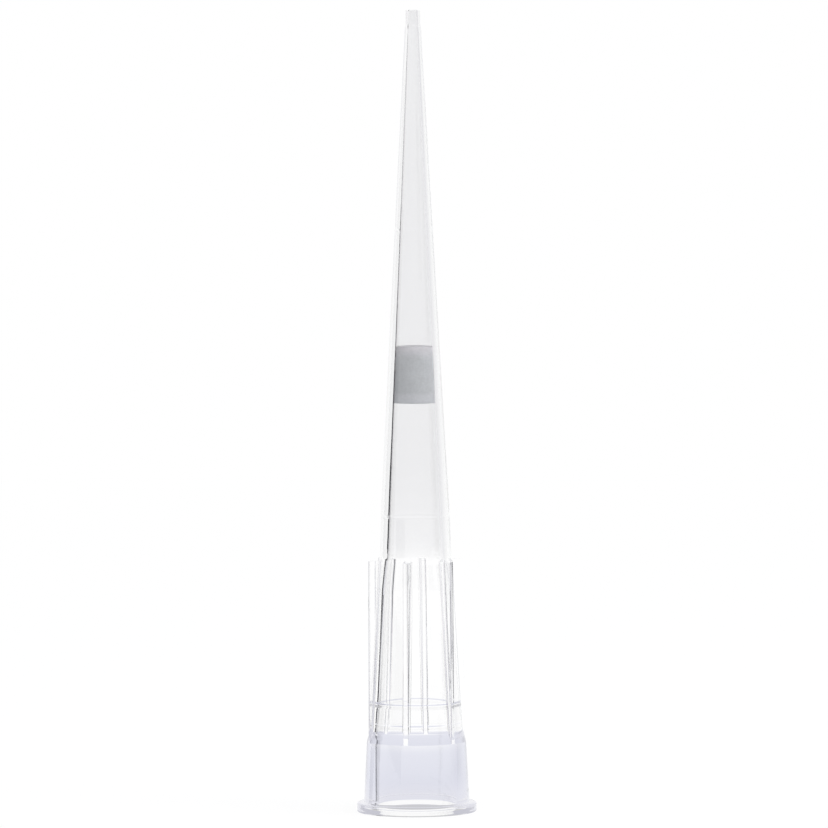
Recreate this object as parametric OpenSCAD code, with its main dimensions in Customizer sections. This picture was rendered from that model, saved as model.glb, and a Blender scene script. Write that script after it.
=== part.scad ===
// Filter tip for a hand-held pipette, standing on its collar with the orifice up.
// The origin is the centre of the collar's lower face and +Z runs up the axis.
// Every outside radius is the bore at that height plus a named wall.

/* [Overall] */
// Length from the collar's lower face to the orifice
tip_l = 50; // [42:0.5:60]
// Turn of the first fin about the axis, in degrees
fin_phase = 17.5; // [0:0.5:59.5]

/* [Nozzle socket] */
// Diameter of the straight bore that grips the pipette's nozzle
socket_d = 5.08; // [4:0.02:7]
// Height of the socket's straight bore above the rim
socket_h = 4.8; // [4:0.1:6]
// Depth of the lead-in at the mouth
lead_in_h = 0.32; // [0.2:0.02:0.9]
// How much wider than the bore the mouth is, on each side
lead_in_w = 0.18; // [0.04:0.02:0.4]
// Length of the tapered seat that stops the nozzle
seat_l = 2.2; // [1:0.1:4]
// Diameter at the top of the tapered seat
seat_d = 4.6; // [3.4:0.05:5]

/* [Collar and skirt] */
// How far the collar stands out from the skirt
collar_w = 0.44; // [0.3:0.02:1]
// Thickness of the collar
collar_t = 0.6; // [0.4:0.02:1]
// Rounding of the collar's outer edges
collar_edge_r = 0.12; // [0.05:0.01:0.2]
// Fillet between the collar and the skirt
collar_fillet_r = 0.06; // [0.05:0.01:0.25]
// Wall of the skirt above the collar
skirt_wall_low = 0.75; // [0.5:0.01:1]
// Wall of the skirt under its shoulder
skirt_wall_top = 0.56; // [0.4:0.01:0.8]
// Height of the skirt under its shoulder, above the rim
skirt_h = 4.4; // [3:0.1:5.5]
// Length of the sloping shoulder at the top of the skirt
shoulder_l = 0.68; // [0.4:0.02:1.2]

/* [Finned neck] */
// Height of the fins' tops above the rim
fin_top_h = 15.74; // [12:0.1:19]
// Number of fins
fin_count = 6; // [3:1:10]
// Thickness of a fin at its outer edge
fin_edge_t = 0.3; // [0.15:0.01:0.5]
// Thickness of a fin where it leaves the wall
fin_root_t = 0.45; // [0.2:0.01:0.6]
// How far the fins' edges lie inside the skirt's top at their lower end
fin_inset_low = 0; // [0:0.01:0.2]
// How far the fins' edges lie inside the skirt's top at their upper end
fin_inset_top = 0.03; // [0:0.01:0.3]
// Wall of the neck above the shoulder
neck_wall_low = 0.39; // [0.2:0.01:0.6]
// Wall of the neck at the fins' tops
neck_wall_top = 0.52; // [0.3:0.01:0.8]
// Distance of the throat's lower end below the fins' tops
throat_drop = 1.84; // [0.8:0.02:2.4]
// Length of the throat, where the bore narrows into the channel
throat_l = 2.3; // [1.2:0.1:3]
// Diameter of the bore under the throat
throat_d = 3.96; // [3.2:0.02:4.5]
// Length of the small step that ends the neck
step_l = 0.3; // [0.1:0.05:0.6]

/* [Channel and cone] */
// Diameter of the channel at the top of the throat
channel_d = 3.42; // [2.8:0.02:4]
// Diameter of the channel at the orifice
orifice_d = 0.5; // [0.3:0.02:0.9]
// Wall of the cone above the neck's step
cone_wall_low = 0.48; // [0.3:0.01:0.8]
// Length of the slower taper above the neck's step
barrel_l = 4.1; // [2:0.1:6]
// Wall of the cone at the top of that taper
barrel_wall = 0.54; // [0.3:0.01:0.8]
// Wall of the cone under its straight end
cone_wall_top = 0.21; // [0.12:0.01:0.4]
// Length of the straight end around the orifice
nib_l = 0.9; // [0.4:0.1:2]
// Wall of the straight end
nib_wall = 0.2; // [0.1:0.01:0.4]
// Length of the step between the cone and the straight end
nib_step_l = 0.2; // [0.05:0.05:0.4]

/* [Rings] */
// Height of the lower volume ring above the fins' tops
volume_ring_low_rise = 2.76; // [1:0.02:5]
// Height of the upper volume ring above the rim
volume_ring_top_h = 36.3; // [33:0.1:40]
// Height of the lower sealing ring above the rim
seal_ring_low_h = 5.45; // [5:0.05:6]
// Height of the upper sealing ring above the rim
seal_ring_top_h = 6.7; // [6.2:0.05:8]
// Radius of a volume ring's rounded section
volume_ring_r = 0.1; // [0.06:0.01:0.15]
// How far a volume ring stands out of the wall
volume_ring_t = 0.03; // [0.01:0.01:0.06]
// Radius of a sealing ring's rounded section
seal_ring_r = 0.25; // [0.15:0.01:0.4]
// How far a sealing ring stands into the bore
seal_ring_t = 0.05; // [0.01:0.01:0.08]

/* [Filter] */
// Height of the filter's lower face above the rim
filter_h = 25.56; // [20:0.02:32]
// Length of the filter
filter_l = 3.52; // [2:0.1:6]
// Clearance between the filter and the bore
filter_gap = 0.01; // [0:0.005:0.05]

/* [Hidden] */
$fn = 64;
overrun = 1;
clear_pp = [0.9, 0.92, 0.95, 0.45];
filter_grey = [0.6, 0.62, 0.65];

throat_low_h = fin_top_h - throat_drop;
throat_top_h = throat_low_h + throat_l;
shoulder_top_h = skirt_h + shoulder_l;
neck_top_h = fin_top_h - step_l / 2;
cone_low_h = neck_top_h + step_l;
barrel_top_h = cone_low_h + barrel_l;
nib_low_h = tip_l - nib_l;
cone_top_h = nib_low_h - nib_step_l;

// The bore's stations, as pairs of height and radius
bore_stations = [
    [0, socket_d / 2 + lead_in_w],
    [lead_in_h, socket_d / 2],
    [socket_h, socket_d / 2],
    [socket_h + seat_l, seat_d / 2],
    [throat_low_h, throat_d / 2],
    [throat_top_h, channel_d / 2],
    [tip_l, orifice_d / 2],
];

// The wall's stations above the collar, as pairs of height and wall thickness
wall_stations = [
    [collar_t, skirt_wall_low],
    [skirt_h, skirt_wall_top],
    [shoulder_top_h, neck_wall_low],
    [neck_top_h, neck_wall_top],
    [cone_low_h, cone_wall_low],
    [barrel_top_h, barrel_wall],
    [cone_top_h, cone_wall_top],
];

function bore_r(h) = lookup(h, bore_stations);

// The outside's stations: each wall is laid on the bore at its own height
skin_stations = concat(
    [for (s = wall_stations) [s[0], bore_r(s[0]) + s[1]]],
    [[nib_low_h, orifice_d / 2 + nib_wall], [tip_l, orifice_d / 2 + nib_wall]]
);

function skin_r(h) = lookup(h, skin_stations);

skirt_low_r = socket_d / 2 + skirt_wall_low;
skirt_top_r = socket_d / 2 + skirt_wall_top;
collar_r = skirt_low_r + collar_w;

// A concave fillet in the corner at the origin, on a square that sinks into both walls
module fillet_section(r) {
    difference() {
        translate([-r, -r]) square(2 * r);
        translate([r, r]) circle(r);
    }
}

// Half section of the collar, with both outer edges rounded
module collar_section() {
    flat_r = collar_r - collar_edge_r;
    square([flat_r, collar_t]);
    translate([0, collar_edge_r]) square([collar_r, collar_t - 2 * collar_edge_r]);
    for (h = [collar_edge_r, collar_t - collar_edge_r])
        translate([flat_r, h]) circle(collar_edge_r);
}

// Half section of the whole outside, filled to the axis
module skin_section() {
    collar_section();
    translate([skirt_low_r, collar_t]) fillet_section(collar_fillet_r);
    polygon(concat(
        [[0, collar_t / 2], [skirt_low_r, collar_t / 2]],
        [for (s = skin_stations) [s[1], s[0]]],
        [[0, tip_l]]
    ));
    for (h = [fin_top_h + volume_ring_low_rise, volume_ring_top_h])
        translate([skin_r(h) - volume_ring_r + volume_ring_t, h]) circle(volume_ring_r);
}

// Half section of the plain bore, narrower than the wall by a gap
module bore_section(gap) {
    polygon(concat(
        [[0, -overrun], [bore_r(0) - gap, -overrun]],
        [for (s = bore_stations) [s[1] - gap, s[0]]],
        [[orifice_d / 2 - gap, tip_l + overrun], [0, tip_l + overrun]]
    ));
}

// The rounded sealing rings, as half sections that stand into the bore
module seal_ring_sections() {
    for (h = [seal_ring_low_h, seal_ring_top_h])
        translate([bore_r(h) + seal_ring_r - seal_ring_t, h]) circle(seal_ring_r);
}

// A fin is a tapered blade that runs from the skirt up to the neck's top
module fin_blades() {
    blade_r = skirt_top_r + overrun;
    for (i = [0 : fin_count - 1])
        rotate(fin_phase + i * 360 / fin_count)
            translate([0, 0, skirt_h / 2])
                linear_extrude(fin_top_h - skirt_h / 2)
                    polygon([
                        [0, -blade_t(0) / 2],
                        [blade_r, -blade_t(blade_r) / 2],
                        [blade_r, blade_t(blade_r) / 2],
                        [0, blade_t(0) / 2],
                    ]);
}

// Thickness of a blade at a distance from the axis
function blade_t(r) =
    fin_edge_t + (fin_root_t - fin_edge_t) * (skirt_top_r - r) / (skirt_top_r - skin_r(fin_top_h));

// The envelope that the fins' outer edges lie on
module fin_envelope() {
    rotate_extrude()
        polygon([
            [0, 0],
            [skirt_top_r - fin_inset_low, 0],
            [skirt_top_r - fin_inset_low, skirt_h],
            [skirt_top_r - fin_inset_top, fin_top_h],
            [0, fin_top_h],
        ]);
}

// The moulded tip: collar, skirt, finned neck and cone in one piece
module tip_body() {
    color(clear_pp)
        difference() {
            union() {
                rotate_extrude() skin_section();
                intersection() {
                    fin_blades();
                    fin_envelope();
                }
            }
            rotate_extrude()
                difference() {
                    bore_section(0);
                    seal_ring_sections();
                }
        }
}

// The porous filter, pressed up the bore until the taper holds it
module filter_plug() {
    color(filter_grey)
        rotate_extrude()
            intersection() {
                bore_section(filter_gap);
                translate([0, filter_h]) square([socket_d, filter_l]);
            }
}

tip_body();
filter_plug();
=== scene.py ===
import math

import bmesh
import bpy
from mathutils import Matrix, Vector


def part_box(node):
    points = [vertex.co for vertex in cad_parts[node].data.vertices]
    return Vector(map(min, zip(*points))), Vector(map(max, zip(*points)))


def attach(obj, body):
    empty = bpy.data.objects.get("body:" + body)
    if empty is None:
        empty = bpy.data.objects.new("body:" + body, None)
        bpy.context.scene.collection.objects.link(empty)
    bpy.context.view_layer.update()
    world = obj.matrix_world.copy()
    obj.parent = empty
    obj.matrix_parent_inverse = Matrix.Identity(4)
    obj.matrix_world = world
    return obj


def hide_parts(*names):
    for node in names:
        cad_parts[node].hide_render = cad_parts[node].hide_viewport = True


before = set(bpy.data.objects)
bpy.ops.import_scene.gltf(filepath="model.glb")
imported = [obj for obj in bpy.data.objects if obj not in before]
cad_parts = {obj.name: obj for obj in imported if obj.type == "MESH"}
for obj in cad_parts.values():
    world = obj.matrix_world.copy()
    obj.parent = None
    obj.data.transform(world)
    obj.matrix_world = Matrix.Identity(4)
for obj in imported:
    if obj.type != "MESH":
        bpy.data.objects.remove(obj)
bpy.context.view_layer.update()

# The camera: a long lens on a tripod, half a metre away and looking slightly down at the standing tip.
# Its view holds little more than the tip's length.
MM = 0.001
tip_low, tip_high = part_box("tip_body")
tip_l = tip_high[2] - tip_low[2]
view_distance = 0.54
view_pitch = math.radians(3.53)
view_roll = math.radians(-0.29)
sensor_w = 36.0
view_h = 1.0315 * tip_l
aim = Vector((-0.05 * MM, 0.0, 0.497 * tip_l))

camera_data = bpy.data.cameras.new("bench_camera")
camera_data.sensor_width = sensor_w
camera_data.lens = sensor_w * view_distance / view_h
camera_data.clip_start = 0.01
camera_data.clip_end = 20.0
camera = bpy.data.objects.new("bench_camera", camera_data)
away = Vector((0.0, -math.cos(view_pitch), math.sin(view_pitch)))
camera.location = aim + view_distance * away
facing = (-away).to_track_quat("-Z", "Y")
camera.rotation_euler = (facing.to_matrix() @ Matrix.Rotation(view_roll, 3, "Z")).to_euler()
bpy.context.scene.collection.objects.link(camera)
bpy.context.scene.camera = camera

# The room: a white studio whose walls light everything softly, at a level where colours look as they are.
# Straight on or mirrored it is plain white. Through clear plastic it is white at the back and a little pale
# round to the front, and much darker there for light that was also mirrored inside the plastic.
WHITE = (1.0, 1.0, 1.0, 1.0)
cool_white = (0.96, 0.97, 1.0, 1.0)
fill_strength = 0.55
bright_side = (-0.25, 0.97, 0.0)
pale_white = (0.92, 0.92, 0.94, 1.0)
lamp_side = (0.87, -0.45, 0.2)
lamp_gain = 2.8
wall_top_angle, ceiling_angle = math.radians(20), math.radians(27)
ceiling_tone = 0.6

# The walls' tones from straight against the bright side, at 0, to straight towards it, at 1
wall_tones = (
    (0.0, (0.66, 0.66, 0.7, 1.0)),
    (0.5, (0.6, 0.6, 0.64, 1.0)),
    (0.58, (0.8, 0.8, 0.82, 1.0)),
    (0.76, (0.89, 0.89, 0.9, 1.0)),
    (0.93, WHITE),
)

# Bounces are counted in whole numbers, so a half tells none from one
any_bounce = 0.5


def lay_tones(ramp, tones):
    """Give a colour ramp its tones, which are pairs of a position and a colour, from the lowest up."""
    first, *between, last = tones
    stops = ramp.color_ramp.elements
    stops[0].position, stops[0].color = first
    stops[1].position, stops[1].color = last
    for position, colour in between:
        stops.new(position).color = colour


# How bright the room is towards a direction, for light that clear plastic bends.
# Light that wasn't mirrored on its way never finds it darker than a pale white.
room_tone = bpy.data.node_groups.new("room_tone", "ShaderNodeTree")
room_tone.interface.new_socket("Direction", in_out="INPUT", socket_type="NodeSocketVector")
room_tone.interface.new_socket("Times Mirrored", in_out="INPUT", socket_type="NodeSocketFloat")
room_tone.interface.new_socket("Tone", in_out="OUTPUT", socket_type="NodeSocketColor")
nodes, links = room_tone.nodes, room_tone.links
given, result = nodes.new("NodeGroupInput"), nodes.new("NodeGroupOutput")
level = nodes.new("ShaderNodeVectorMath")
level.operation = "MULTIPLY"
level.inputs[1].default_value = (1.0, 1.0, 0.0)
unit = nodes.new("ShaderNodeVectorMath")
unit.operation = "NORMALIZE"
towards = nodes.new("ShaderNodeVectorMath")
towards.operation = "DOT_PRODUCT"
towards.inputs[1].default_value = bright_side
share = nodes.new("ShaderNodeMapRange")
share.inputs["From Min"].default_value = -1.0
side = nodes.new("ShaderNodeValToRGB")
lay_tones(side, wall_tones)
straight = nodes.new("ShaderNodeMath")
straight.operation = "LESS_THAN"
straight.inputs[1].default_value = any_bounce
pale = nodes.new("ShaderNodeMix")
pale.data_type = "RGBA"
pale.blend_type = "LIGHTEN"
pale.inputs["B"].default_value = pale_white
links.new(given.outputs["Direction"], level.inputs[0])
links.new(level.outputs["Vector"], unit.inputs[0])
links.new(unit.outputs["Vector"], towards.inputs[0])
links.new(towards.outputs["Value"], share.inputs["Value"])
links.new(share.outputs["Result"], side.inputs["Fac"])
links.new(given.outputs["Times Mirrored"], straight.inputs[0])
links.new(straight.outputs[0], pale.inputs["Factor"])
links.new(side.outputs["Color"], pale.inputs["A"])
links.new(pale.outputs["Result"], result.inputs["Tone"])

world = bpy.data.worlds.new("white_studio")
bpy.context.scene.world = world
world.use_nodes = True
nodes, links = world.node_tree.nodes, world.node_tree.links
nodes.clear()
sight = nodes.new("ShaderNodeLightPath")
seen = nodes.new("ShaderNodeMath")
seen.operation = "MAXIMUM"
links.new(sight.outputs["Is Camera Ray"], seen.inputs[0])
links.new(sight.outputs["Is Glossy Ray"], seen.inputs[1])
fill = nodes.new("ShaderNodeBackground")
fill.inputs["Color"].default_value = cool_white
fill.inputs["Strength"].default_value = fill_strength
plain = nodes.new("ShaderNodeBackground")
plain.inputs["Color"].default_value = WHITE
plain.inputs["Strength"].default_value = 1.0
direction = nodes.new("ShaderNodeTexCoord")
tone = nodes.new("ShaderNodeGroup")
tone.node_tree = room_tone
links.new(direction.outputs["Generated"], tone.inputs["Direction"])
links.new(sight.outputs["Glossy Depth"], tone.inputs["Times Mirrored"])
toned = nodes.new("ShaderNodeBackground")
links.new(tone.outputs["Tone"], toned.inputs["Color"])
# The lamps' own light stops at clear plastic, so the walls on their side give the filter behind it more
rightward = nodes.new("ShaderNodeVectorMath")
rightward.operation = "DOT_PRODUCT"
rightward.inputs[1].default_value = lamp_side
links.new(direction.outputs["Generated"], rightward.inputs[0])
gain = nodes.new("ShaderNodeMapRange")
gain.inputs["To Min"].default_value = 1.0
gain.inputs["To Max"].default_value = lamp_gain
links.new(rightward.outputs["Value"], gain.inputs["Value"])
matt_light = nodes.new("ShaderNodeMath")
matt_light.operation = "GREATER_THAN"
matt_light.inputs[1].default_value = any_bounce
links.new(sight.outputs["Diffuse Depth"], matt_light.inputs[0])
# Above the walls the ceiling is darker
height = nodes.new("ShaderNodeSeparateXYZ")
links.new(direction.outputs["Generated"], height.inputs["Vector"])
ceiling = nodes.new("ShaderNodeMapRange")
ceiling.inputs["From Min"].default_value = math.sin(wall_top_angle)
ceiling.inputs["From Max"].default_value = math.sin(ceiling_angle)
ceiling.inputs["To Min"].default_value = 1.0
ceiling.inputs["To Max"].default_value = ceiling_tone
links.new(height.outputs["Z"], ceiling.inputs["Value"])
power = nodes.new("ShaderNodeMix")
links.new(ceiling.outputs["Result"], power.inputs["A"])
links.new(matt_light.outputs[0], power.inputs["Factor"])
links.new(gain.outputs["Result"], power.inputs["B"])
links.new(power.outputs["Result"], toned.inputs["Strength"])
pick_seen = nodes.new("ShaderNodeMixShader")
links.new(seen.outputs[0], pick_seen.inputs["Fac"])
links.new(fill.outputs["Background"], pick_seen.inputs[1])
links.new(plain.outputs["Background"], pick_seen.inputs[2])
pick_through = nodes.new("ShaderNodeMixShader")
links.new(sight.outputs["Is Transmission Ray"], pick_through.inputs["Fac"])
links.new(pick_seen.outputs[0], pick_through.inputs[1])
links.new(toned.outputs["Background"], pick_through.inputs[2])
out = nodes.new("ShaderNodeOutputWorld")
links.new(pick_through.outputs[0], out.inputs["Surface"])

# The floor: a pale bench top, matt and even, which keeps a faint shadow under the tip.
# The camera sees it shine a little by itself, so that it runs into the white room without an edge.
floor_r, floor_sides = 6.0, 96
matt_bench = (0.9, 0.9, 0.92, 1.0)
first_shine, full_shine_r = 0.93, 0.3

# Close to the tip, in millimetres: the bench lies a hair above the collar's lower face, so that the two
# share no plane, and further out its painted tones through clear plastic darken by direction, as the room
# does
floor_top_h = 0.005
near_tone_r, far_tone_r = 8.0, 20.0
# The painted contact shadow right under the rim, in millimetres: where it ends and how softly
contact_r, contact_blur = 3.75, 0.1

# The bench's painted light and shade through clear plastic, by the distance from the tip's axis in
# millimetres: a painted shadow under and near the tip, then a painted pool of light, a little dimmer
# between 265 and 950
shade_reach = 3000.0
dark_shade = (0.57, 0.57, 0.6, 1.0)
painted_pool_light = (1.05, 1.05, 1.05, 1.0)
painted_far_light = (1.02, 1.02, 1.02, 1.0)
painted_floor_light = (
    (1.0, dark_shade),
    (2.4, dark_shade),
    (2.8, (0.72, 0.72, 0.8, 1.0)),
    (5.0, (0.77, 0.77, 0.84, 1.0)),
    (12.0, (0.74, 0.75, 0.84, 1.0)),
    (24.0, (0.80, 0.81, 0.89, 1.0)),
    (34.0, painted_pool_light),
    (245.0, painted_pool_light),
    (265.0, painted_far_light),
    (950.0, painted_far_light),
    (shade_reach, painted_pool_light),
)

floor_mesh = bpy.data.meshes.new("bench_top")
bm = bmesh.new()
bmesh.ops.create_circle(bm, cap_ends=True, segments=floor_sides, radius=floor_r)
bmesh.ops.translate(bm, verts=bm.verts[:], vec=(0, 0, floor_top_h * MM))
bm.to_mesh(floor_mesh)
bm.free()
bench = bpy.data.objects.new("bench_top", floor_mesh)
bpy.context.scene.collection.objects.link(bench)
bench_look = bpy.data.materials.new("pale_bench")
bench_look.use_nodes = True
nodes, links = bench_look.node_tree.nodes, bench_look.node_tree.links
nodes.clear()
sight = nodes.new("ShaderNodeLightPath")
place = nodes.new("ShaderNodeTexCoord")
reach = nodes.new("ShaderNodeVectorMath")
reach.operation = "LENGTH"
links.new(place.outputs["Object"], reach.inputs[0])
# The painted shade is laid on a scale on which each step outwards is so many times further
in_mm = nodes.new("ShaderNodeMath")
in_mm.operation = "DIVIDE"
in_mm.inputs[1].default_value = MM
links.new(reach.outputs["Value"], in_mm.inputs[0])
times = nodes.new("ShaderNodeMath")
times.operation = "LOGARITHM"
times.inputs[1].default_value = shade_reach
links.new(in_mm.outputs[0], times.inputs[0])
shade = nodes.new("ShaderNodeValToRGB")
links.new(times.outputs[0], shade.inputs["Fac"])
lay_tones(shade, [(math.log(radius, shade_reach), colour) for radius, colour in painted_floor_light])
# Further out the painted tones are darkened by direction, as the room's walls are: painted shade away from
# the bright back
tone = nodes.new("ShaderNodeGroup")
tone.node_tree = room_tone
links.new(place.outputs["Object"], tone.inputs["Direction"])
links.new(sight.outputs["Glossy Depth"], tone.inputs["Times Mirrored"])
far_share = nodes.new("ShaderNodeMapRange")
far_share.interpolation_type = "SMOOTHSTEP"
far_share.inputs["From Min"].default_value = near_tone_r * MM
far_share.inputs["From Max"].default_value = far_tone_r * MM
links.new(reach.outputs["Value"], far_share.inputs["Value"])
toned = nodes.new("ShaderNodeMix")
toned.data_type = "RGBA"
toned.blend_type = "MULTIPLY"
links.new(far_share.outputs["Result"], toned.inputs["Factor"])
links.new(shade.outputs["Color"], toned.inputs["A"])
links.new(tone.outputs["Tone"], toned.inputs["B"])
matt = nodes.new("ShaderNodeBsdfDiffuse")
matt.inputs["Color"].default_value = matt_bench
glow = nodes.new("ShaderNodeEmission")
# Through clear plastic the bench shows these painted tones as a glow of its own, not as lit colour
through = nodes.new("ShaderNodeEmission")
links.new(toned.outputs["Result"], through.inputs["Color"])
seen = nodes.new("ShaderNodeMath")
seen.operation = "MAXIMUM"
links.new(sight.outputs["Is Camera Ray"], seen.inputs[0])
links.new(sight.outputs["Is Glossy Ray"], seen.inputs[1])
shine = nodes.new("ShaderNodeMapRange")
shine.inputs["From Max"].default_value = full_shine_r
shine.inputs["To Min"].default_value = first_shine
links.new(reach.outputs["Value"], shine.inputs["Value"])
share = nodes.new("ShaderNodeMath")
share.operation = "MULTIPLY"
links.new(seen.outputs[0], share.inputs[0])
links.new(shine.outputs["Result"], share.inputs[1])
blend = nodes.new("ShaderNodeMixShader")
links.new(share.outputs[0], blend.inputs["Fac"])
links.new(matt.outputs[0], blend.inputs[1])
links.new(glow.outputs[0], blend.inputs[2])
# Light that was last mirrored meets the same painted shade right under the rim: a painted contact shadow
contact = nodes.new("ShaderNodeMapRange")
contact.inputs["From Min"].default_value = contact_r * MM
contact.inputs["From Max"].default_value = (contact_r + contact_blur) * MM
contact.inputs["To Min"].default_value = 1.0
contact.inputs["To Max"].default_value = 0.0
links.new(reach.outputs["Value"], contact.inputs["Value"])
under_rim = nodes.new("ShaderNodeMath")
under_rim.operation = "MULTIPLY"
links.new(sight.outputs["Is Glossy Ray"], under_rim.inputs[0])
links.new(contact.outputs["Result"], under_rim.inputs[1])
shaded = nodes.new("ShaderNodeMath")
shaded.operation = "MAXIMUM"
links.new(sight.outputs["Is Transmission Ray"], shaded.inputs[0])
links.new(under_rim.outputs[0], shaded.inputs[1])
blend_through = nodes.new("ShaderNodeMixShader")
links.new(shaded.outputs[0], blend_through.inputs["Fac"])
links.new(blend.outputs[0], blend_through.inputs[1])
links.new(through.outputs[0], blend_through.inputs[2])
out = nodes.new("ShaderNodeOutputMaterial")
links.new(blend_through.outputs[0], out.inputs["Surface"])
bench.data.materials.append(bench_look)

# The lamps: one broad softbox overhead and one to the right, both far larger than the tip.
for name, spot, width, watts in (
    ("top_softbox", (0.1, -0.1, 0.9), 0.6, 5.0),
    ("right_softbox", (0.7, -0.35, 0.4), 0.5, 2.6),
):
    lamp_data = bpy.data.lights.new(name, "AREA")
    lamp_data.shape = "DISK"
    lamp_data.size = width
    lamp_data.energy = watts
    lamp = bpy.data.objects.new(name, lamp_data)
    lamp.location = spot
    lamp.rotation_euler = (Vector(spot) - aim).to_track_quat("Z", "Y").to_euler()
    lamp.visible_camera = False
    lamp.visible_glossy = False
    lamp.visible_transmission = False
    bpy.context.scene.collection.objects.link(lamp)

# The flags: four black cards to the left of the tip, two of them close beside its skirt and neck, which are
# a painted dark reflection.
# Only light that was mirrored on its way meets them, so they never show themselves, and they cast no
# shadow. They draw the dark line along the left of the clear bore.
reflection_black = (0.015, 0.015, 0.022, 1.0)

flag_look = bpy.data.materials.new("painted_dark_reflection")
flag_look.use_nodes = True
nodes, links = flag_look.node_tree.nodes, flag_look.node_tree.links
nodes.clear()
sight = nodes.new("ShaderNodeLightPath")
mirrored = nodes.new("ShaderNodeMath")
mirrored.operation = "GREATER_THAN"
mirrored.inputs[1].default_value = any_bounce
dark_emission = nodes.new("ShaderNodeEmission")
dark_emission.inputs["Color"].default_value = reflection_black
air = nodes.new("ShaderNodeBsdfTransparent")
blend = nodes.new("ShaderNodeMixShader")
out = nodes.new("ShaderNodeOutputMaterial")
links.new(sight.outputs["Glossy Depth"], mirrored.inputs[0])
links.new(mirrored.outputs[0], blend.inputs["Fac"])
links.new(air.outputs[0], blend.inputs[1])
links.new(dark_emission.outputs[0], blend.inputs[2])
links.new(blend.outputs[0], out.inputs["Surface"])


def stand_flag(name, distance, near_edge, far_edge):
    """Stand a card beside the tip, between two edges that are a distance in metres from the axis.

    Each edge is turned to the left of straight back, in degrees. The near edge is given as pairs, from the
    lowest up: a height in millimetres and the turn there.
    """
    bm = bmesh.new()
    near = []
    for height, degrees in near_edge:
        turn = math.radians(degrees)
        near.append(bm.verts.new((-distance * math.sin(turn), distance * math.cos(turn), height * MM)))
    side = [bm.edges.new(pair) for pair in zip(near, near[1:])]
    drawn = bmesh.ops.extrude_edge_only(bm, edges=side)["geom"]
    turn = math.radians(far_edge)
    for vert in (part for part in drawn if isinstance(part, bmesh.types.BMVert)):
        vert.co.x, vert.co.y = -distance * math.sin(turn), distance * math.cos(turn)
    flag_mesh = bpy.data.meshes.new(name)
    bm.to_mesh(flag_mesh)
    bm.free()
    flag = bpy.data.objects.new(name, flag_mesh)
    bpy.context.scene.collection.objects.link(flag)
    flag.visible_camera = False
    flag.visible_diffuse = False
    flag.visible_shadow = False
    flag.data.materials.append(flag_look)


slanted_edge = ((0, 42), (7, 42), (12, 48), (15, 51), (19, 53), (29, 57), (36, 60), (50, 66))
stand_flag("slanted_flag", 0.1, slanted_edge, 90)
stand_flag("low_flag", 0.25, ((0.1, 112), (16, 112)), 145)
stand_flag("skirt_flag", 0.0055, ((0.05, 83.5), (4.0, 79)), 95)
stand_flag("neck_flag", 0.02, ((3.3, 47), (8.0, 47)), 80)

# The tip: one injection moulding in clear polypropylene, with the socket for the pipette's nozzle below.
# Its outline is turned about the axis, and six fins are drawn out of the neck's wall.
# Its sizes are in millimetres, from the collar's lower face up.
steps_around = 288
fin_count = 6
fin_phase = math.radians(17.5)
fin_columns = 6
fin_edge_t, fin_root_t = 0.3, 0.45
fin_fillet_r, fin_corner_r = 0.12, 0.1
fin_low_h, fin_top_h = 4.4, 15.74
fin_low_r, fin_top_r = 3.1, 3.07
neck_top_r = 2.293
sharp_angle = math.radians(35)
step_angle = math.radians(7)
# Up the cone the clear wall turns grey: painted shade for the duller room seen through it, while the neck
# stays clear
clear_up_to_h, grey_from_h = 15.7, 21.0
painted_shade_tints = (
    (0.0, WHITE),
    (0.2, (0.95, 0.95, 0.955, 1.0)),
    (1.0, (0.925, 0.925, 0.93, 1.0)),
)
polish_size, line_w, line_l, line_depth = 1.5, 0.2, 6.0, 0.001
smooth_polish, dull_polish = 0.01, 0.035
# A ray that has turned more often than this is replaced by a painted glow, in the colours below
lost_after = 7.5
thin_wall_r, thick_fin_r = 2.5, 2.75
skirt_glow, fin_glow = (0.55, 0.55, 0.62, 1.0), (0.5, 0.5, 0.55, 1.0)
skirt_glow_fades = 1.0

# A narrow strip beside each corner keeps the corner's shading out of the flat next to it
guard = 0.03
shortest_guarded = 4 * guard

# Points closer than this, in metres, are one
weld = 1e-7

# The outline's corners, up the outside and then down the bore: radius, height, rounding.
# The collar is drawn two micrometres in, so that its fine curve stays inside the box of the faceted one.
outline = (
    (3.728, 0.0, 0.12),
    (3.728, 0.6, 0.12),
    (3.29, 0.6, 0.06),
    (fin_low_r, fin_low_h, 0.0),
    (2.9, 5.08, 0.1),
    (2.302, 15.59, 0.0),
    (2.264, fin_top_h, 0.0),
    (2.226, 15.89, 0.1),
    (2.144, 18.43, 0.02),
    (2.171, 18.5, 0.04),
    (2.14, 18.57, 0.02),
    (2.086, 19.99, 0.5),
    (1.199, 36.23, 0.02),
    (1.225, 36.3, 0.04),
    (1.191, 36.37, 0.02),
    (0.508, 48.9, 0.05),
    (0.45, 49.1, 0.05),
    (0.45, 50.0, 0.06),
    (0.25, 50.0, 0.03),
    (1.71, 16.2, 0.3),
    (1.98, 13.9, 0.3),
    (2.293, 7.15, 0.1),
    (2.312, 6.88, 0.05),
    (2.262, 6.76, 0.06),
    (2.351, 6.58, 0.06),
    (2.452, 5.6, 0.06),
    (2.447, 5.45, 0.06),
    (2.485, 5.3, 0.06),
    (2.54, 4.8, 0.2),
    (2.54, 0.32, 0.1),
    (2.72, 0.0, 0.05),
)

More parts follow.
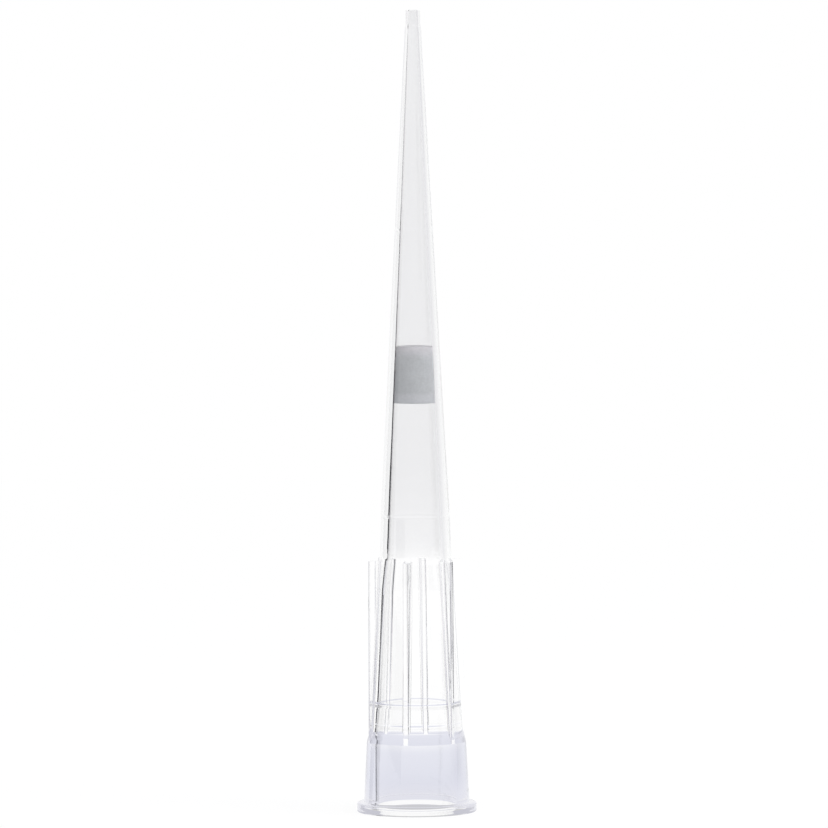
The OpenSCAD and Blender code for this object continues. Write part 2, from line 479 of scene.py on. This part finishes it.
bm = bmesh.new()
corners = [bm.verts.new((r * MM, 0.0, h * MM)) for r, h, _ in outline]
for here, there in zip(corners, corners[1:] + corners[:1]):
    bm.edges.new((here, there))
for corner, (_, _, rounding) in zip(corners, outline):
    if rounding:
        before, after = [edge.other_vert(corner).co - corner.co for edge in corner.link_edges]
        turn = math.pi - before.angle(after)
        bmesh.ops.bevel(bm, geom=[corner], offset=rounding * MM, offset_type="OFFSET", affect="VERTICES",
                        segments=max(2, round(turn / step_angle)), profile=0.5, material=-1)
for edge in [edge for edge in bm.edges if edge.calc_length() > shortest_guarded * MM]:
    for end in edge.verts[:]:
        bmesh.utils.edge_split(edge, end, guard * MM / edge.calc_length())
bmesh.ops.rotate(bm, verts=bm.verts[:], cent=(0, 0, 0), matrix=Matrix.Rotation(fin_phase, 3, "Z"))
bmesh.ops.spin(bm, geom=bm.verts[:] + bm.edges[:], cent=(0, 0, 0), axis=(0, 0, 1),
               angle=math.tau, steps=steps_around, use_merge=True)
bmesh.ops.remove_doubles(bm, verts=bm.verts[:], dist=weld)
bmesh.ops.recalc_face_normals(bm, faces=bm.faces[:])


def turn_from_fin(point):
    """The angle from the nearest fin's middle plane to a point, between plus and minus half a pitch."""
    pitch = math.tau / fin_count
    return (math.atan2(point.y, point.x) - fin_phase + pitch / 2) % pitch - pitch / 2


def fin_t(radius):
    """A fin's thickness at a radius."""
    inward = (fin_low_r - radius) / (fin_low_r - neck_top_r)
    return fin_edge_t + (fin_root_t - fin_edge_t) * inward


def fin_edge_r(height):
    """The radius of the fins' outer faces at a height."""
    return fin_low_r + (fin_top_r - fin_low_r) * (height - fin_low_h) / (fin_top_h - fin_low_h)


def fin_side(depth):
    """Points up the side of a fin that stands out of the wall by a depth.

    Each is a pair: the rise from the wall, and how far outside the fin's flat side. Where the fin is
    shallow, its fillet, its corner and the strips beside them are shares of the depth.
    """
    fillet, corner, rest = min(fin_fillet_r, depth / 3), min(fin_corner_r, depth / 3), min(guard, depth / 9)
    curve = [(math.sin(turn), math.cos(turn)) for turn in map(math.radians, (0, 30, 60, 90))]
    up = [(fillet * (1 - c), fillet * (1 - s)) for s, c in curve]
    over = [(depth - corner * (1 - s), -corner * (1 - c)) for s, c in curve]
    return up + [(fillet + rest, 0.0), (depth - corner - rest, 0.0)] + over


def is_fin_root(face):
    """True for a face of the neck's outside that a fin stands on."""
    middle = face.calc_center_median()
    outside = face.normal.dot(Vector((middle.x, middle.y, 0.0))) > 0
    along = fin_low_h * MM < middle.z < fin_top_h * MM
    return outside and along and abs(turn_from_fin(middle)) < half_strip


def place_on_fin(vert, step):
    """Put a point of a fin at a step up the fin's side, or at its share of the way across the fin."""
    rise, spread = fin_side(fin_edge_r(vert.co.z / MM) - vert[wall])[step]
    radius = vert[wall] + rise
    angle = vert[middle_plane] + vert[across] * (fin_t(radius) / 2 + spread) / radius
    vert.co.x, vert.co.y = radius * MM * math.cos(angle), radius * MM * math.sin(angle)


# Each point of a fin's root keeps its wall radius, its fin's angle and its share of the way across
half_strip = math.pi * fin_columns / steps_around
wall = bm.verts.layers.float.new("wall")
middle_plane = bm.verts.layers.float.new("middle_plane")
across = bm.verts.layers.float.new("across")
strip = [face for face in bm.faces if is_fin_root(face)]
points = {vert for face in strip for vert in face.verts}
for vert in points:
    vert[wall] = vert.co.to_2d().length / MM
    vert[middle_plane] = math.atan2(vert.co.y, vert.co.x) - turn_from_fin(vert.co)
    vert[across] = turn_from_fin(vert.co) / half_strip
    place_on_fin(vert, 0)
for step in range(1, len(fin_side(1.0))):
    drawn = bmesh.ops.extrude_face_region(bm, geom=strip)["geom"]
    bmesh.ops.delete(bm, geom=[face for face in strip if face.is_valid], context="FACES")
    strip = [part for part in drawn if isinstance(part, bmesh.types.BMFace)]
    for vert in {vert for face in strip for vert in face.verts}:
        place_on_fin(vert, step)
bmesh.ops.remove_doubles(bm, verts=bm.verts[:], dist=weld)
bmesh.ops.dissolve_degenerate(bm, dist=weld / 10, edges=bm.edges[:])
bmesh.ops.recalc_face_normals(bm, faces=bm.faces[:])

# Sharp edges stay sharp, and so do the outline's corners that have no rounding
creases = [h * MM for _, h, rounding in outline if not rounding]
for face in bm.faces:
    face.smooth = True
for edge in bm.edges:
    level = all(min(abs(vert.co.z - h) for h in creases) < weld for vert in edge.verts)
    if edge.calc_face_angle() > sharp_angle or level:
        edge.smooth = False
body_mesh = bpy.data.meshes.new("clear_tip")
bm.to_mesh(body_mesh)
bm.free()
body = bpy.data.objects.new("clear_tip", body_mesh)
bpy.context.scene.collection.objects.link(body)

# Soft clouds of a given size that vary a value between a low and a high one.
# Noise mostly lies between 0.3 and 0.7, so that is spread over the whole range.
mottle = bpy.data.node_groups.new("mottle", "ShaderNodeTree")
mottle.interface.new_socket("Place", in_out="INPUT", socket_type="NodeSocketVector")
mottle.interface.new_socket("Per Metre", in_out="INPUT", socket_type="NodeSocketFloat")
mottle.interface.new_socket("Low", in_out="INPUT", socket_type="NodeSocketFloat")
mottle.interface.new_socket("High", in_out="INPUT", socket_type="NodeSocketFloat")
mottle.interface.new_socket("Value", in_out="OUTPUT", socket_type="NodeSocketFloat")
nodes, links = mottle.nodes, mottle.links
given, result = nodes.new("NodeGroupInput"), nodes.new("NodeGroupOutput")
clouds = nodes.new("ShaderNodeTexNoise")
spread = nodes.new("ShaderNodeMapRange")
spread.inputs["From Min"].default_value = 0.3
spread.inputs["From Max"].default_value = 0.7
links.new(given.outputs["Place"], clouds.inputs["Vector"])
links.new(given.outputs["Per Metre"], clouds.inputs["Scale"])
links.new(clouds.outputs["Fac"], spread.inputs["Value"])
links.new(given.outputs["Low"], spread.inputs["To Min"])
links.new(given.outputs["High"], spread.inputs["To Max"])
links.new(spread.outputs["Result"], result.inputs["Value"])

clear = bpy.data.materials.new("clear_polypropylene")
clear.use_nodes = True
nodes, links = clear.node_tree.nodes, clear.node_tree.links
shader = nodes["Principled BSDF"]
place = nodes.new("ShaderNodeTexCoord")
axes = nodes.new("ShaderNodeSeparateXYZ")
# The wall's colour by height carries the painted shade up the cone
height = nodes.new("ShaderNodeMapRange")
height.inputs["From Min"].default_value = clear_up_to_h * MM
height.inputs["From Max"].default_value = grey_from_h * MM
shade_tint = nodes.new("ShaderNodeValToRGB")
lay_tones(shade_tint, painted_shade_tints)
links.new(place.outputs["Object"], axes.inputs["Vector"])
links.new(axes.outputs["Z"], height.inputs["Value"])
links.new(height.outputs["Result"], shade_tint.inputs["Fac"])
links.new(shade_tint.outputs["Color"], shader.inputs["Base Color"])
# The mould's polish is a little uneven, and its finest lines run along the axis, the way the tip leaves it
polish = nodes.new("ShaderNodeGroup")
polish.node_tree = mottle
polish.inputs["Per Metre"].default_value = 1 / (polish_size * MM)
polish.inputs["Low"].default_value = smooth_polish
polish.inputs["High"].default_value = dull_polish
drawn = nodes.new("ShaderNodeMapping")
drawn.inputs["Scale"].default_value = (1.0, 1.0, line_w / line_l)
lines = nodes.new("ShaderNodeGroup")
lines.node_tree = mottle
lines.inputs["Per Metre"].default_value = 1 / (line_w * MM)
lines.inputs["Low"].default_value = 0.0
lines.inputs["High"].default_value = 1.0
relief = nodes.new("ShaderNodeBump")
relief.inputs["Strength"].default_value = 0.2
relief.inputs["Distance"].default_value = line_depth * MM
links.new(place.outputs["Object"], polish.inputs["Place"])
links.new(place.outputs["Object"], drawn.inputs["Vector"])
links.new(drawn.outputs["Vector"], lines.inputs["Place"])
links.new(polish.outputs["Value"], shader.inputs["Roughness"])
links.new(lines.outputs["Value"], relief.inputs["Height"])
links.new(relief.outputs["Normal"], shader.inputs["Normal"])
shader.inputs["IOR"].default_value = 1.49
shader.inputs["Transmission Weight"].default_value = 1.0
# Light that goes to and fro inside the wall for long is given up, and a painted glow comes out in its
# place: lavender grey in the skirt and on the fins, white on the thinner wall above
sight = nodes.new("ShaderNodeLightPath")
lost = nodes.new("ShaderNodeMath")
lost.operation = "GREATER_THAN"
lost.inputs[1].default_value = lost_after
painted_glow = nodes.new("ShaderNodeEmission")
level = nodes.new("ShaderNodeVectorMath")
level.operation = "MULTIPLY"
level.inputs[1].default_value = (1.0, 1.0, 0.0)
reach = nodes.new("ShaderNodeVectorMath")
reach.operation = "LENGTH"
on_fin = nodes.new("ShaderNodeMapRange")
on_fin.inputs["From Min"].default_value = thin_wall_r * MM
on_fin.inputs["From Max"].default_value = thick_fin_r * MM
above_skirt = nodes.new("ShaderNodeMapRange")
above_skirt.inputs["From Min"].default_value = fin_low_h * MM
above_skirt.inputs["From Max"].default_value = (fin_low_h + skirt_glow_fades) * MM
neck_glow = nodes.new("ShaderNodeMix")
neck_glow.data_type = "RGBA"
neck_glow.inputs["A"].default_value = WHITE
neck_glow.inputs["B"].default_value = fin_glow
glow_tone = nodes.new("ShaderNodeMix")
glow_tone.data_type = "RGBA"
glow_tone.inputs["A"].default_value = skirt_glow
links.new(place.outputs["Object"], level.inputs[0])
links.new(level.outputs["Vector"], reach.inputs[0])
links.new(reach.outputs["Value"], on_fin.inputs["Value"])
links.new(axes.outputs["Z"], above_skirt.inputs["Value"])
links.new(on_fin.outputs["Result"], neck_glow.inputs["Factor"])
links.new(above_skirt.outputs["Result"], glow_tone.inputs["Factor"])
links.new(neck_glow.outputs["Result"], glow_tone.inputs["B"])
links.new(glow_tone.outputs["Result"], painted_glow.inputs["Color"])
blend = nodes.new("ShaderNodeMixShader")
links.new(sight.outputs["Ray Depth"], lost.inputs[0])
links.new(lost.outputs[0], blend.inputs["Fac"])
links.new(shader.outputs["BSDF"], blend.inputs[1])
links.new(painted_glow.outputs[0], blend.inputs[2])
links.new(blend.outputs[0], nodes["Material Output"].inputs["Surface"])
body.data.materials.append(clear)
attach(body, "root")
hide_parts("tip_body")

# The filter: a plug of sintered polyethylene, pressed up the channel until the taper holds it.
# Its faces are flat and porous, and its edges are a little rounded. Its sizes are in millimetres.
filter_low_h, filter_l = 25.56, 3.52
filter_low_r, filter_top_r = 1.296, 1.144
filter_round = 0.05
filter_sides = 96
grain_size, pore_depth, patch_size = 0.12, 0.02, 0.6
# The grains' painted light in their middles, the painted shade in the pores, and how far from a grain's
# middle the shade is full
grain_light_tone, pore_shade_tone, pore_distance = 1.03, 0.9, 0.9
dark_patch, pale_patch = 0.96, 1.04

# Its greys from the lower end, at 0, to the upper end, at 1: paler towards both ends
filter_greys = (
    (0.0, (0.72, 0.735, 0.755, 1.0)),
    (0.14, (0.73, 0.74, 0.755, 1.0)),
    (0.2, (0.65, 0.67, 0.675, 1.0)),
    (0.78, (0.655, 0.675, 0.68, 1.0)),
    (0.9, (0.76, 0.76, 0.775, 1.0)),
    (1.0, (0.84, 0.82, 0.84, 1.0)),
)

bm = bmesh.new()
bmesh.ops.create_cone(bm, cap_ends=True, segments=filter_sides, radius1=filter_low_r * MM,
                      radius2=filter_top_r * MM, depth=filter_l * MM)
bmesh.ops.translate(bm, verts=bm.verts[:], vec=(0, 0, (filter_low_h + filter_l / 2) * MM))
rims = [edge for edge in bm.edges if abs(edge.verts[0].co.z - edge.verts[1].co.z) < weld]
bmesh.ops.bevel(bm, geom=rims, offset=filter_round * MM, offset_type="OFFSET", affect="EDGES",
                segments=3, profile=0.5, material=-1)
for face in bm.faces:
    face.smooth = True
plug_mesh = bpy.data.meshes.new("porous_filter")
bm.to_mesh(plug_mesh)
bm.free()
plug = bpy.data.objects.new("porous_filter", plug_mesh)
bpy.context.scene.collection.objects.link(plug)
grey = bpy.data.materials.new("sintered_polyethylene")
grey.use_nodes = True
nodes, links = grey.node_tree.nodes, grey.node_tree.links
shader = nodes["Principled BSDF"]
shader.inputs["Roughness"].default_value = 0.9
place = nodes.new("ShaderNodeTexCoord")
axes = nodes.new("ShaderNodeSeparateXYZ")
end_share = nodes.new("ShaderNodeMapRange")
end_share.inputs["From Min"].default_value = filter_low_h * MM
end_share.inputs["From Max"].default_value = (filter_low_h + filter_l) * MM
bands = nodes.new("ShaderNodeValToRGB")
lay_tones(bands, filter_greys)
# Grains of the sintered powder, a tenth of a millimetre across, painted a little lighter in their middles
# and with painted shade in the pores between them
grains = nodes.new("ShaderNodeTexVoronoi")
grains.inputs["Scale"].default_value = 1 / (grain_size * MM)
pore_shade = nodes.new("ShaderNodeMapRange")
pore_shade.inputs["From Max"].default_value = pore_distance
pore_shade.inputs["To Min"].default_value = grain_light_tone
pore_shade.inputs["To Max"].default_value = pore_shade_tone
patches = nodes.new("ShaderNodeGroup")
patches.node_tree = mottle
patches.inputs["Per Metre"].default_value = 1 / (patch_size * MM)
patches.inputs["Low"].default_value = dark_patch
patches.inputs["High"].default_value = pale_patch
tone = nodes.new("ShaderNodeMath")
tone.operation = "MULTIPLY"
colour = nodes.new("ShaderNodeMix")
colour.data_type = "RGBA"
colour.blend_type = "MULTIPLY"
colour.inputs["Factor"].default_value = 1.0
relief = nodes.new("ShaderNodeBump")
relief.inputs["Strength"].default_value = 0.4
relief.inputs["Distance"].default_value = pore_depth * MM
links.new(place.outputs["Object"], axes.inputs["Vector"])
links.new(axes.outputs["Z"], end_share.inputs["Value"])
links.new(end_share.outputs["Result"], bands.inputs["Fac"])
links.new(place.outputs["Object"], grains.inputs["Vector"])
links.new(place.outputs["Object"], patches.inputs["Place"])
links.new(grains.outputs["Distance"], pore_shade.inputs["Value"])
links.new(pore_shade.outputs["Result"], tone.inputs[0])
links.new(patches.outputs["Value"], tone.inputs[1])
links.new(bands.outputs["Color"], colour.inputs["A"])
links.new(tone.outputs[0], colour.inputs["B"])
links.new(colour.outputs["Result"], shader.inputs["Base Color"])
links.new(grains.outputs["Distance"], relief.inputs["Height"])
links.new(relief.outputs["Normal"], shader.inputs["Normal"])
plug.data.materials.append(grey)
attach(plug, "root")
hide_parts("filter_plug")

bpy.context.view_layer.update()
bpy.context.scene.view_settings.view_transform = "Standard"
# Light crosses the clear wall many times, so it may turn often before it is given up
bounces = 32
bpy.context.scene.cycles.max_bounces = bounces
bpy.context.scene.cycles.transmission_bounces = bounces
bpy.context.scene.cycles.glossy_bounces = bounces
